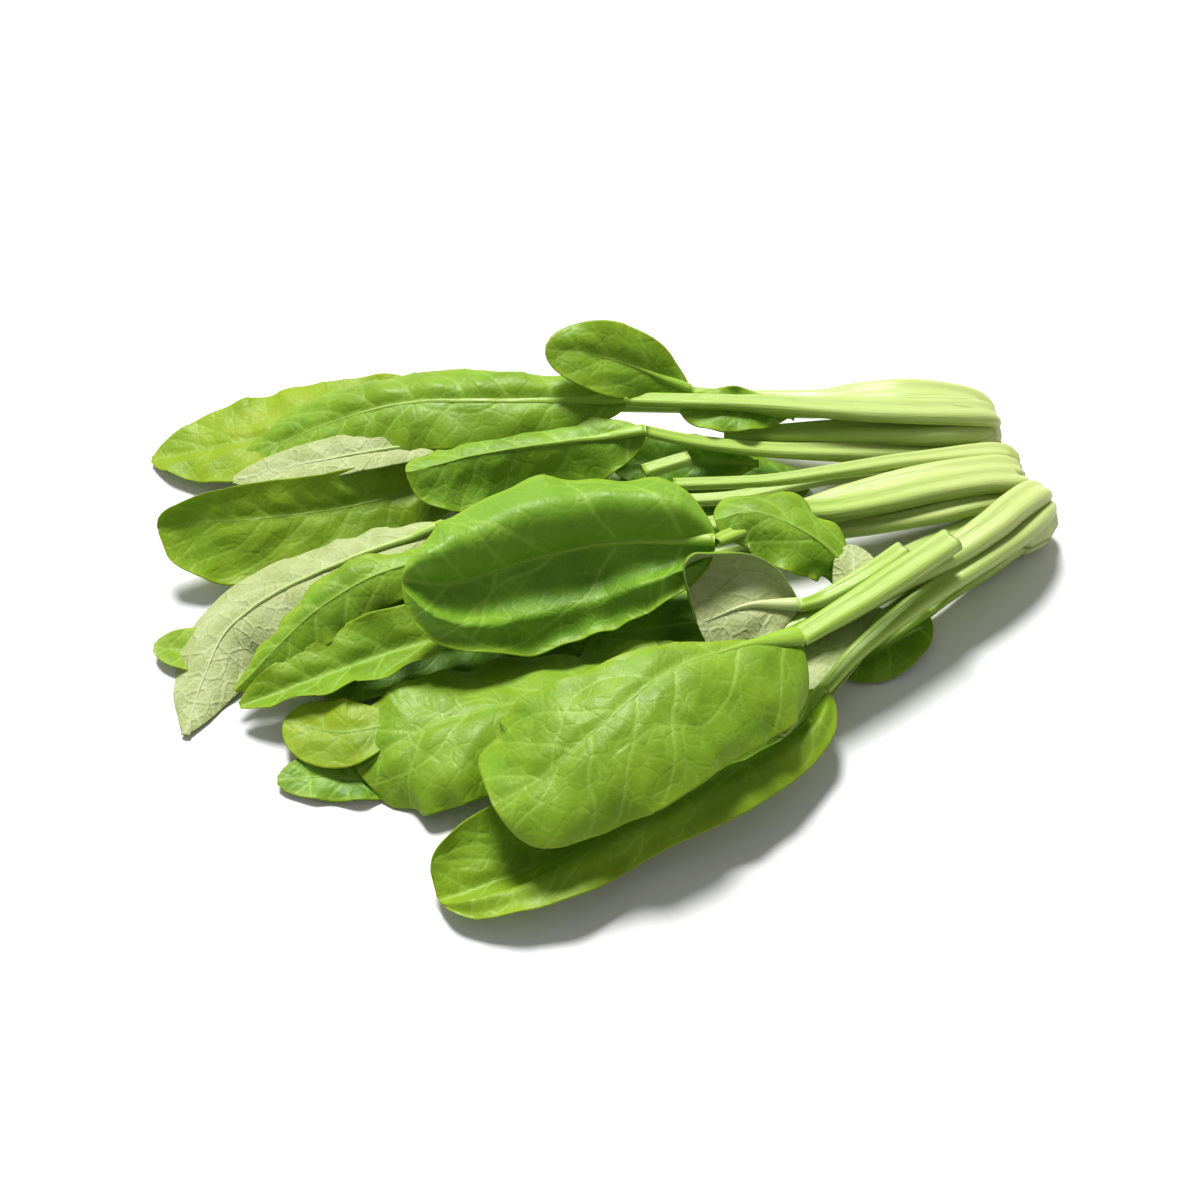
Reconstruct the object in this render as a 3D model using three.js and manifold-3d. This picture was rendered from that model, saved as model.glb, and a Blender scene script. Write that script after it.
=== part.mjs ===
// A loose bunch of komatsuna: three young plants and two picked leaves, lying on a table.
// Millimetres, +Z up. Every crown points to +X and the leaf tips fan out to -X and -Y.
// Each leaf is a fleshy stalk and a thin blade. A blade is a sheet swept along its midrib.

import * as THREE from 'three';
import Module from 'manifold-3d';

const BLADE_THICKNESS = 1.0;
const GAP = 0.3;              // clear space between two neighbouring pieces
const LEAST_HALF_WIDTH = 1.6; // of a blade, at its base and its tip
const BLADE_STEPS = 9;        // along the midrib
const HALF_CELLS = 4;         // from the midrib to one margin
const STALK_SIDES = 8;
const STALK_STEP = 16;        // length of one segment of a stalk
const CROWN_SIDES = 12;
const USUAL_BEND = 1.5;       // above 1 a half bends mostly near its margin
const SUBSTEPS = 6;           // a section is added up this much finer than its cells

// The bunch is laid out around a working point near its middle, then moved so that its
// bounding box stands centred on the origin.
const BUNCH_CENTRE = [-0.8, -5.3, 0];

// One row per leaf. path: midrib from the base to the tip. near and far: the two halves,
// left and right of the midrib seen from its base, with the half width, its rise from
// level at the midrib and its further curl up to the margin, both in degrees, given at
// even steps along the leaf. bend: below 1 the curl comes mostly near the midrib, above 1
// near the margin. outline: where the leaf is widest, then how full it is towards the
// base and the tip (smaller is fuller). flip 1: it lies underside up.
const LEAVES = [
  {"name": "a_far", "outline": [0.5, 0.6, 0.6],
    "path": [[-40, 99, 14], [-90, 88, 17], [-127, 85, 11], [-161, 84, 2]],
    "near": {"width": 22, "rise": [0, 0, -5], "curl": [-10, 0, 10]},
    "far": {"width": 22, "rise": [5, 0, -5], "curl": [0, 0, 10]}},
  {"name": "a_top", "outline": [0.5, 0.5, 0.6],
    "path": [[10, 82, 34], [-35, 81, 35], [-72, 83, 31], [-108, 80, 18], [-141, 73, 4]],
    "near": {"width": 18, "rise": [-20, -20, -10], "curl": [-35, -35, 0]},
    "far": {"width": 17, "rise": [40, 30, 5], "curl": [-80, -75, -25], "bend": 1}},
  {"name": "a_small", "outline": [0.55, 0.7, 0.5],
    "path": [[32, 88, 32], [14, 89, 42], [-4, 90, 48], [-19, 90, 50]],
    "near": {"width": 13, "rise": [-35], "curl": [-10]},
    "far": {"width": 13, "rise": [45, 45, 40], "curl": [-25]}},
  {"name": "a_arched", "outline": [0.55, 0.5, 0.35],
    "path": [[16, 69, 31], [-16, 64, 31], [-42, 60, 29], [-67, 54, 26]],
    "near": {"width": 22, "rise": [-50, -65, -50], "curl": [25]},
    "far": {"width": 12, "rise": [0, -15, -10], "curl": [0]}},
  {"name": "a_crumpled", "outline": [0.55, 0.7, 0.5],
    "path": [[68, 81, 28], [49, 80, 31], [28, 80, 31]],
    "near": {"width": 9, "rise": [-25], "curl": [0]},
    "far": {"width": 8, "rise": [30], "curl": [0]}},
  {"name": "a_inner", "outline": [0.55, 0.7, 0.5],
    "path": [[56, 71, 13], [32, 71, 15], [4, 71, 13]],
    "near": {"width": 12, "rise": [-10], "curl": [0]},
    "far": {"width": 10, "rise": [10], "curl": [0]}},
  {"name": "a_pale", "outline": [0.55, 0.6, 0.55], "flip": 1,
    "path": [[-46, 72, 25], [-91, 66, 22], [-129, 64, 12]],
    "near": {"width": 9, "rise": [-10], "curl": [0]},
    "far": {"width": 10, "rise": [0], "curl": [0]}},
  {"name": "a_under", "outline": [0.5, 0.5, 0.5],
    "path": [[75, 71, 4], [14, 64, 6], [-42, 61, 4]],
    "near": {"width": 18, "rise": [-5], "curl": [0]},
    "far": {"width": 16, "rise": [5], "curl": [0]}},
  {"name": "b_cup", "outline": [0.65, 0.6, 0.25],
    "path": [[-28, 64, 13], [-60, 59, 13], [-92, 49, 13], [-122, 42, 15], [-141, 37, 18],
      [-151, 33, 19]],
    "near": {"width": 24, "rise": [-5, -35, -40], "curl": [0, 10, 25]},
    "far": {"width": 13, "rise": [30, 40, 35], "curl": [10, 20, 40], "outline": [0.5, 0.7, 0.3]}},
  {"name": "b_pale", "outline": [0.5, 0.55, 0.8], "flip": 1,
    "path": [[-52, 25, 30], [-86, 12, 26], [-109, 5, 18], [-125, -4, 10], [-132, -22, 5],
      [-136, -43, 2]],
    "near": {"width": 20, "rise": [-10], "curl": [-20]},
    "far": {"width": 18, "rise": [-15], "curl": [-20]}},
  {"name": "b_green", "outline": [0.5, 0.6, 0.6],
    "path": [[-38, 12, 28], [-66, 4, 33], [-92, -8, 26], [-120, -31, 10]],
    "near": {"width": 12, "rise": [-40], "curl": [-10]},
    "far": {"width": 10, "rise": [0], "curl": [-40]}},
  {"name": "b_inner", "outline": [0.5, 0.5, 0.6],
    "path": [[-20, -8, 20], [-52, -15, 19], [-86, -25, 14], [-118, -36, 8]],
    "near": {"width": 14, "rise": [5], "curl": [30]},
    "far": {"width": 14, "rise": [30], "curl": [0]}},
  {"name": "b_tip", "outline": [0.6, 0.6, 0.5],
    "path": [[-106, -6, 1.5], [-128, -7, 2], [-150, -7, 4]],
    "near": {"width": 10, "rise": [0], "curl": [0]},
    "far": {"width": 9, "rise": [5], "curl": [0]}},
  {"name": "b_under", "outline": [0.5, 0.5, 0.5],
    "path": [[14, 12, 6], [-27, 6, 7], [-67, -10, 5], [-94, -24, 2]],
    "near": {"width": 24, "rise": [-5, -5, 0], "curl": [0]},
    "far": {"width": 24, "rise": [0], "curl": [0]}},
  {"name": "b_hollow", "outline": [0.5, 0.5, 0.5],
    "path": [[38, 7, 41], [9, 9, 39], [-10, 6, 38], [-30, -1, 37], [-48, -10, 39], [-64, -13, 44]],
    "near": {"width": 33, "rise": [-55, -70, -50], "curl": [55, 70, 35], "bend": 1.2},
    "far": {"width": 30, "rise": [100, 115, 95], "curl": [-115, -135, -105], "bend": 0.45}},
  {"name": "b_drape", "outline": [0.6, 0.5, 0.45],
    "path": [[83, -2, 24], [80, 7, 32], [68, 13, 40], [51, 18, 44], [38, 15, 43]],
    "near": {"width": 16, "rise": [-35], "curl": [0]},
    "far": {"width": 14, "rise": [-10], "curl": [-20]}},
  {"name": "b_lip", "outline": [0.5, 0.5, 0.5], "flip": 1,
    "path": [[80, -6, 28], [84, 3, 31], [84, 14, 32]],
    "near": {"width": 7, "rise": [0], "curl": [0]},
    "far": {"width": 8, "rise": [-15], "curl": [0]}},
  {"name": "loose_curl", "outline": [0.65, 0.5, 0.2], "flip": 1,
    "path": [[66, -8, 26], [49, -10, 28], [32, -17, 27]],
    "near": {"width": 17, "rise": [-30], "curl": [0]},
    "far": {"width": 29, "rise": [10], "curl": [160], "bend": 2.5}},
  {"name": "c_wide", "outline": [0.6, 0.5, 0.28],
    "path": [[44, -21, 18], [26, -28, 19], [3, -33, 18], [-19, -39, 17], [-46, -48, 18],
      [-66, -56, 13], [-78, -61, 5]],
    "near": {"width": 31, "rise": [0, 5, -10], "curl": [-40]},
    "far": {"width": 23, "rise": [-10, -20, 5], "curl": [0]}},
  {"name": "c_under", "outline": [0.5, 0.5, 0.5],
    "path": [[72, 2, 8], [36, -8, 12], [-7, -28, 9]],
    "near": {"width": 20, "rise": [-10], "curl": [0]},
    "far": {"width": 22, "rise": [0], "curl": [0]}},
  {"name": "loose_front", "outline": [0.6, 0.5, 0.25],
    "path": [[64, -29, 34], [47, -38, 42], [20, -55, 47], [-1, -75, 44], [-18, -88, 37],
      [-33, -94, 30]],
    "near": {"width": 35, "rise": [-10], "curl": [-45], "outline": [0.45, 0.3, 0.4]},
    "far": {"width": 28, "rise": [0], "curl": [-20], "outline": [0.8, 0.6, 0.14]}},
  {"name": "c_trough", "outline": [0.5, 0.5, 0.4],
    "path": [[73, -34, 14], [60, -50, 10], [36, -64, 7], [6, -80, 5], [-19, -97, 4], [-50, -111, 4]],
    "near": {"width": 27, "rise": [45, 55, 25], "curl": [-80, -95, -15], "outline": [0.5, 0.5, 0.4]},
    "far": {"width": 25, "rise": [20], "curl": [30], "outline": [0.6, 0.5, 0.25]}},
  {"name": "c_dark", "outline": [0.5, 0.6, 0.5],
    "path": [[-60, -63, 3], [-87, -62, 4], [-104, -63, 3]],
    "near": {"width": 9, "rise": [-15], "curl": [0]},
    "far": {"width": 10, "rise": [10], "curl": [0]}},
  {"name": "c_yellow", "outline": [0.5, 0.7, 0.5],
    "path": [[-66, -46, 12], [-84, -49, 11], [-103, -42, 8]],
    "near": {"width": 13, "rise": [-15], "curl": [0]},
    "far": {"width": 12, "rise": [5], "curl": [0]}},
  {"name": "c_shade", "outline": [0.5, 0.6, 0.45],
    "path": [[111, 8, 5], [95, -7, 5], [80, -16, 2]],
    "near": {"width": 12, "rise": [-10], "curl": [0]},
    "far": {"width": 12, "rise": [10], "curl": [0]}},
  {"name": "c_underside", "outline": [0.4, 0.4, 0.6], "flip": 1,
    "path": [[97, -2, 16], [84, -18, 15], [71, -36, 12], [58, -50, 10]],
    "near": {"width": 4, "rise": [-10], "curl": [0]},
    "far": {"width": 18, "rise": [-5], "curl": [0]}},
];

// One row per stalk, from the crown end to the blade end. width and thick are given at
// even steps along it.
const STALKS = [
  {"name": "a_far", "width": [12, 13, 12, 9, 6, 5], "thick": [9, 9, 8, 7, 5, 3],
    "path": [[135, 97, 17], [121, 96, 22], [107, 95, 24], [91, 94, 23], [76, 92, 22],
      [36, 97, 18], [-40, 99, 14]]},
  {"name": "a_top", "width": [12, 11, 9, 7, 6], "thick": [8, 7, 6, 5, 4],
    "path": [[136, 86, 23], [111, 82, 28], [88, 81, 30], [53, 82, 32], [32, 82, 33], [10, 82, 34]]},
  {"name": "a_small", "width": [8, 5, 4], "thick": [6, 4, 3],
    "path": [[127, 87, 26], [70, 86, 29], [32, 88, 32]]},
  {"name": "a_arched", "width": [11, 10, 9, 7, 6, 5], "thick": [8, 8, 7, 5, 4, 3],
    "path": [[137, 78, 13], [111, 74, 16], [85, 71, 19], [59, 69, 22], [33, 69, 26], [16, 69, 31]]},
  {"name": "a_crumpled", "width": [13, 13, 11, 10, 8, 6], "thick": [10, 10, 9, 8, 6, 5],
    "path": [[139, 86, 15], [127, 82, 19], [112, 79, 21], [85, 78, 22], [59, 77, 22], [44, 79, 21]]},
  {"name": "a_inner", "width": [6, 6], "thick": [5, 5],
    "path": [[31, 64, 23], [15, 58, 22]]},
  {"name": "b_cut", "width": [10, 7, 6, 5, 5], "thick": [8, 6, 5, 4, 4],
    "path": [[141, 71, 18], [110, 64, 22], [84, 57, 24], [58, 51, 25], [25, 48, 26]]},
  {"name": "b_cup", "width": [8, 6, 5, 4], "thick": [7, 5, 4, 3],
    "path": [[127, 70, 12], [84, 64, 14], [43, 53, 14], [0, 55, 13], [-28, 64, 13]]},
  {"name": "b_pale", "width": [13, 12, 9, 7, 5, 4], "thick": [10, 9, 7, 6, 4, 3],
    "path": [[144, 63, 18], [125, 58, 21], [107, 54, 21], [86, 48, 20], [62, 40, 19],
      [20, 30, 22], [-20, 26, 27], [-52, 25, 30]]},
  {"name": "b_hollow", "width": [12, 11, 10, 9, 8, 5], "thick": [9, 8, 8, 7, 6, 4],
    "path": [[144, 57, 19], [133, 53, 23], [115, 46, 26], [95, 37, 29], [77, 31, 31],
      [61, 25, 35], [38, 7, 41]]},
  {"name": "b_green", "width": [10, 8, 6, 5, 4], "thick": [8, 6, 5, 4, 3],
    "path": [[146, 54, 15], [128, 45, 19], [115, 39, 21], [95, 32, 23], [72, 26, 24],
      [34, 14, 25], [0, 13, 26], [-38, 12, 28]]},
  {"name": "c_wide", "width": [12, 12, 10, 8, 6], "thick": [9, 9, 8, 6, 4],
    "path": [[151, 49, 21], [141, 37, 26], [132, 27, 27], [117, 15, 26], [97, 4, 23],
      [73, -11, 20], [44, -21, 19]]},
  {"name": "loose_drape", "width": [9, 9], "thick": [7, 7],
    "path": [[80, -4, 24], [57, -14, 20]]},
  {"name": "loose_curl", "width": [7, 7, 5], "thick": [6, 6, 4],
    "path": [[101, 12.5, 31], [88, 0.6, 31.5], [74, -7.5, 29.5], [66, -8, 26]]},
  {"name": "loose_front", "width": [10, 10, 8], "thick": [7, 7, 5],
    "path": [[117, 13.3, 35], [89, -10, 34.6], [64, -29, 34]]},
  {"name": "c_trough", "width": [12, 11, 9, 7, 5], "thick": [9, 8, 7, 6, 4],
    "path": [[153, 46, 17], [143, 31, 21], [125, 14, 22], [105, -2, 20], [86, -18, 16],
      [73, -34, 14]]},
  {"name": "c_shade", "width": [10, 8, 6, 5], "thick": [8, 7, 5, 3],
    "path": [[154, 50, 8], [148, 42, 7], [134, 28, 6], [120, 16, 6], [111, 8, 5]]},
  {"name": "c_underside", "width": [9, 9, 8, 5], "thick": [8, 7, 6, 4],
    "path": [[151, 50, 14], [141, 38, 17], [118, 16, 17], [97, -2, 16]]},
  {"name": "c_inner", "width": [9, 8, 7, 5], "thick": [8, 6, 5, 4],
    "path": [[146, 50, 13], [126, 37, 15], [106, 25, 16], [84, 10, 13], [62, -3, 9]]},
];

// One row per plant: the hard crown where its stalks join, from its tip inwards.
const CROWNS = [
  {"name": "a_crown", "tip": [143, 88, 11], "inner": [122, 84, 12], "radius": 11},
  {"name": "b_crown", "tip": [148, 64, 10], "inner": [124, 58, 11], "radius": 10},
  {"name": "c_crown", "tip": [157, 53, 9], "inner": [141, 36, 9], "radius": 9},
];
const CROWN_PROFILE = [[0, 0], [0.45, 0.03], [0.8, 0.18], [1, 0.5], [0.8, 0.85], [0, 1]];

const BLADE_GREEN = 0x5f9a2c;
const PALE_UNDERSIDE = 0xa9bd83;
const STALK_GREEN = 0xc3dc7e;
const CROWN_WHITE = 0xe3e9c0;

const UP = new THREE.Vector3(0, 0, 1);
const wasm = await Module();
wasm.setup();

const toVector = (p) => new THREE.Vector3(p[0], p[1], p[2]);
const radians = THREE.MathUtils.degToRad;

// A value given at even steps along a leaf or stalk, read smoothly at share s.
function along(values, s) {
  if (values.length === 1) return values[0];
  const points = values.map((value, i) => new THREE.Vector2(i, value));
  return new THREE.SplineCurve(points).getPoint(s).y;
}

// Half width as a share of the widest: 1 at the widest place, 0 at both ends.
function fullness(s, [widest, baseFill, tipFill]) {
  const x = s ** (Math.log(0.5) / Math.log(widest));
  const arch = Math.max(4 * x * (1 - x), 0);
  return arch ** (s < widest ? baseFill : tipFill);
}

// Frames along a smooth curve: where it is, its left-hand side and its own upward.
function frames(path, steps) {
  const curve = new THREE.CatmullRomCurve3(path.map(toVector), false, 'catmullrom', 0.5);
  return Array.from({ length: steps + 1 }, (_, i) => {
    const s = i / steps;
    const at = curve.getPointAt(s);
    const ahead = curve.getTangentAt(s);
    const side = new THREE.Vector3().crossVectors(UP, ahead).normalize();
    const up = new THREE.Vector3().crossVectors(ahead, side);
    return { s, at, side, up };
  });
}

// Offsets from the midrib to the margin of one half, as pairs along the side and up.
function halfSection(half, s, outline) {
  const reach = Math.max(half.width * fullness(s, half.outline ?? outline), LEAST_HALF_WIDTH);
  const rise = radians(along(half.rise, s));
  const curl = radians(along(half.curl, s));
  const bend = half.bend ?? USUAL_BEND;
  const count = HALF_CELLS * SUBSTEPS;
  const length = reach / count;
  const offsets = [];
  let sideways = 0;
  let upwards = 0;
  for (let k = 0; k < count; k += 1) {
    const angle = rise + curl * ((k + 0.5) / count) ** bend;
    sideways += Math.cos(angle) * length;
    upwards += Math.sin(angle) * length;
    if ((k + 1) % SUBSTEPS === 0) offsets.push([sideways, upwards]);
  }
  return offsets;
}

// The blade's middle surface: a row of points from the far margin to the near one,
// at each step along the midrib.
function bladeRows(leaf) {
  return frames(leaf.path, BLADE_STEPS).map(({ s, at, side, up }) => {
    const place = ([across, high], sign) =>
      at.clone().addScaledVector(side, sign * across).addScaledVector(up, high);
    const near = halfSection(leaf.near, s, leaf.outline).map((offset) => place(offset, 1));
    const far = halfSection(leaf.far, s, leaf.outline).map((offset) => place(offset, -1));
    return [...far.reverse(), at, ...near];
  });
}

// The direction square to the surface at one point of the rows.
function surfaceNormal(rows, i, j) {
  const before = rows[Math.max(i - 1, 0)][j];
  const after = rows[Math.min(i + 1, rows.length - 1)][j];
  const left = rows[i][Math.max(j - 1, 0)];
  const right = rows[i][Math.min(j + 1, rows[i].length - 1)];
  const ahead = after.clone().sub(before);
  const across = right.clone().sub(left);
  return ahead.cross(across).normalize();
}

function stretchEnds(points, margin) {
  if (margin === 0) return points;
  const last = points.length - 1;
  const out = points.map((p) => p.clone());
  out[0].add(points[0].clone().sub(points[1]).setLength(margin));
  out[last].add(points[last].clone().sub(points[last - 1]).setLength(margin));
  return out;
}

// Closed rings around a sheet: over its top from one margin to the other, and back below.
function sheetRings(rows, thickness, margin) {
  const rings = rows.map((row, i) => {
    const wide = stretchEnds(row, margin);
    const shift = (j, amount) =>
      wide[j].clone().addScaledVector(surfaceNormal(rows, i, j), amount);
    const top = wide.map((_, j) => shift(j, thickness / 2));
    const bottom = wide.map((_, j) => shift(j, -thickness / 2));
    return [...top, ...bottom.reverse()];
  });
  return lengthen(rings, margin);
}

// The first and last rings moved outward by a margin.
function lengthen(rings, margin) {
  if (margin === 0) return rings;
  const last = rings.length - 1;
  const move = (ring, from) => {
    const away = ring[0].clone().sub(from[0]).setLength(margin);
    return ring.map((p) => p.clone().add(away));
  };
  return [move(rings[0], rings[1]), ...rings.slice(1, last), move(rings[last], rings[last - 1])];
}

// Oval rings along a stalk.
function stalkRings(stalk, margin) {
  const length = new THREE.CatmullRomCurve3(stalk.path.map(toVector)).getLength();
  const steps = Math.max(2, Math.round(length / STALK_STEP));
  const rings = frames(stalk.path, steps).map(({ s, at, side, up }) => {
    const across = along(stalk.width, s) / 2 + margin;
    const high = along(stalk.thick, s) / 2 + margin;
    return Array.from({ length: STALK_SIDES }, (_, k) => {
      const angle = ((k + 0.5) / STALK_SIDES) * 2 * Math.PI;
      return at.clone()
        .addScaledVector(side, Math.cos(angle) * across)
        .addScaledVector(up, Math.sin(angle) * high);
    });
  });
  return lengthen(rings, margin);
}

// A closed solid through rings of equal count, each end closed by a strip across it.
function loft(rings) {
  const count = rings[0].length;
  const positions = rings.flat();
  const triangles = [];
  const quad = (a, b, c, d) => triangles.push([a, b, c], [a, c, d]);
  for (let i = 0; i < rings.length - 1; i += 1) {
    for (let k = 0; k < count; k += 1) {
      const next = (k + 1) % count;
      quad(i * count + k, i * count + next, (i + 1) * count + next, (i + 1) * count + k);
    }
  }
  const end = (rings.length - 1) * count;
  for (let k = 0; k < count / 2 - 1; k += 1) {
    const facing = count - 1 - k;
    quad(k, facing, facing - 1, k + 1);
    quad(end + k, end + k + 1, end + facing - 1, end + facing);
  }
  return solid(positions, triangles);
}

// A solid from points and triangles, turned outside out where they run the other way.
function solid(positions, triangles) {
  const flat = new Float32Array(positions.flatMap((p) => [p.x, p.y, p.z]));
  const signedVolume = triangles.reduce((sum, [a, b, c]) =>
    sum + positions[a].dot(positions[b].clone().cross(positions[c])), 0);
  const ordered = signedVolume < 0 ? triangles.map(([a, b, c]) => [a, c, b]) : triangles;
  const mesh = new wasm.Mesh({
    numProp: 3, vertProperties: flat, triVerts: new Uint32Array(ordered.flat()),
  });
  return new wasm.Manifold(mesh);
}

// A crown: a rounded cone turned about the line between its two end points.
function crownSolid(crown, margin) {
  const from = toVector(crown.tip);
  const axis = toVector(crown.inner).sub(from);
  const length = axis.length();
  axis.normalize();
  const side = new THREE.Vector3().crossVectors(UP, axis).normalize();
  const up = new THREE.Vector3().crossVectors(axis, side);
  const rings = CROWN_PROFILE.slice(1, -1).map(([share, reach]) => {
    const radius = crown.radius * share + margin;
    const middle = from.clone().addScaledVector(axis, reach * length);
    return Array.from({ length: CROWN_SIDES }, (_, k) => {
      const angle = (k / CROWN_SIDES) * 2 * Math.PI;
      return middle.clone()
        .addScaledVector(side, Math.cos(angle) * radius)
        .addScaledVector(up, Math.sin(angle) * radius);
    });
  });
  return loft(lengthen(rings, margin));
}

// The biggest of a solid's separate bodies.
function mainBody(manifold) {
  const bodies = manifold.decompose();
  return bodies.reduce((best, body) => (body.volume() > best.volume() ? body : best));
}

function toMesh(manifold, name, color, roughness) {
  const { vertProperties, triVerts } = manifold.getMesh();
  const geometry = new THREE.BufferGeometry();
  geometry.setAttribute('position', new THREE.BufferAttribute(new Float32Array(vertProperties), 3));
  geometry.setIndex(new THREE.BufferAttribute(new Uint32Array(triVerts), 1));
  geometry.computeVertexNormals();
  const material = new THREE.MeshStandardMaterial({ color, roughness, metalness: 0 });
  const mesh = new THREE.Mesh(geometry, material);
  mesh.name = name;
  return mesh;
}

// Every piece as its own shape and, for clearing its neighbours, a slightly larger one.
function pieces() {
  const crowns = CROWNS.map((crown) => ({
    name: crown.name, color: CROWN_WHITE, roughness: 0.5,
    body: crownSolid(crown, 0), room: crownSolid(crown, GAP),
  }));
  const stalks = STALKS.map((stalk) => ({
    name: `${stalk.name}_stalk`, color: STALK_GREEN, roughness: 0.45,
    body: loft(stalkRings(stalk, 0)), room: loft(stalkRings(stalk, GAP)),
  }));
  const blades = LEAVES.map((leaf) => {
    const rows = bladeRows(leaf);
    return {
      name: `${leaf.name}_blade`, color: leaf.flip ? PALE_UNDERSIDE : BLADE_GREEN, roughness: 0.55,
      body: loft(sheetRings(rows, BLADE_THICKNESS, 0)),
      room: loft(sheetRings(rows, BLADE_THICKNESS + 2 * GAP, GAP)),
    };
  });
  return [...crowns, ...stalks, ...blades];
}

const bunch = new THREE.Group();
bunch.position.set(-BUNCH_CENTRE[0], -BUNCH_CENTRE[1], -BUNCH_CENTRE[2]);
const placed = [];
for (const piece of pieces()) {
  let body = piece.body;
  for (const other of placed) body = body.subtract(other.room);
  body = mainBody(body);
  placed.push(piece);
  bunch.add(toMesh(body, piece.name, piece.color, piece.roughness));
}

const root = new THREE.Group();
root.add(bunch);
export default root;
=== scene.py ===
"""A loose bunch of komatsuna on a pale table: three plants and two picked leaves.

Leaf blades are fine sheets with modelled veins, puckers and ruffled margins, each with its
own midrib. Stalks are ribbed, channelled rods that close over each other at the crowns.
"""

import math

import bpy
import numpy as np
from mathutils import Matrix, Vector


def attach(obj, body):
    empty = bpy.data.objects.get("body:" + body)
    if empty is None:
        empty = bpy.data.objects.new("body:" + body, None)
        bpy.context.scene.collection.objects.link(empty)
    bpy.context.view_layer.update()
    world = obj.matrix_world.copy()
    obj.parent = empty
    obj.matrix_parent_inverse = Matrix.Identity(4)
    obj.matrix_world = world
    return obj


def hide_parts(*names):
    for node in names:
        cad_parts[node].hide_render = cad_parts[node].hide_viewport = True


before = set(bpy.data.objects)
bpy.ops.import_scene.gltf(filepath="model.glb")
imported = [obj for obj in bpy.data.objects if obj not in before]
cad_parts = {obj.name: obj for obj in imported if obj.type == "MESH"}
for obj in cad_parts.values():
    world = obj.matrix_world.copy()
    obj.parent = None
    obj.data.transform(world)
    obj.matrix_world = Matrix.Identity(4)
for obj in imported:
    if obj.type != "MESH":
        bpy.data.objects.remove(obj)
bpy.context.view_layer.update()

# ---------------------------------------------------------------- sizes, in millimetres

MM = 0.001
BUNCH_CENTRE = np.array([-0.8, -5.3, 0])  # the layout's point that stands on the origin
LEAST_HALF_WIDTH = 1.6   # of a blade, at its base and its tip
USUAL_BEND = 1.5         # above 1 a half bends mostly near its margin
GRID_STEP = 0.65         # between two points of a blade's sheet
LEAF_THICKNESS = 0.42
MARGIN_THICKNESS = 0.3
LEAST_VEIN = 0.42
VEIN_SPACING = 20.0      # between side veins on a full-size leaf
STALK_RING_STEP = 1.6
STALK_SIDES = 28
CROWN_ROUNDING = 15      # of a stalk's length narrows into its crown
CURVE_STEPS = 40         # between two points of a path
LIME_REACH = 1.3         # the lime field where a stalk meets its blade; it is 0 at the crown

# Heights over a blade's smooth sheet.
QUILT_HEIGHT = 1.1       # of the skin between strong veins
QUILT_REACH = 7          # from a vein to where the skin is nearly at that height
PUCKER_HEIGHT = 0.1      # of the skin between fine veins
PUCKER_REACH = 3
STRONG_GROOVE = 0.2      # depth along a strong vein
FINE_GROOVE = 0.06
RIB_VALLEY_DEPTH = 0.9
RIB_VALLEY_WIDTH = 3.2
SWAY_HEIGHT = 1.6
SWAY_SIZE = 38
RIPPLE_HEIGHT = 0.3
RIPPLE_SIZE = 15
RUFFLE_HEIGHT = 1.2
RUFFLE_LENGTH = 17       # from one wave of the margin to the next

# The midrib.
RIB_END = 0.94           # of the blade's length
RIB_SIDES = 12
RIB_JOIN = 13            # of its length takes the stalk's own size

# Material slots of a leaf piece.
UPPER, UNDER, RIB = 0, 1, 2

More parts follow.
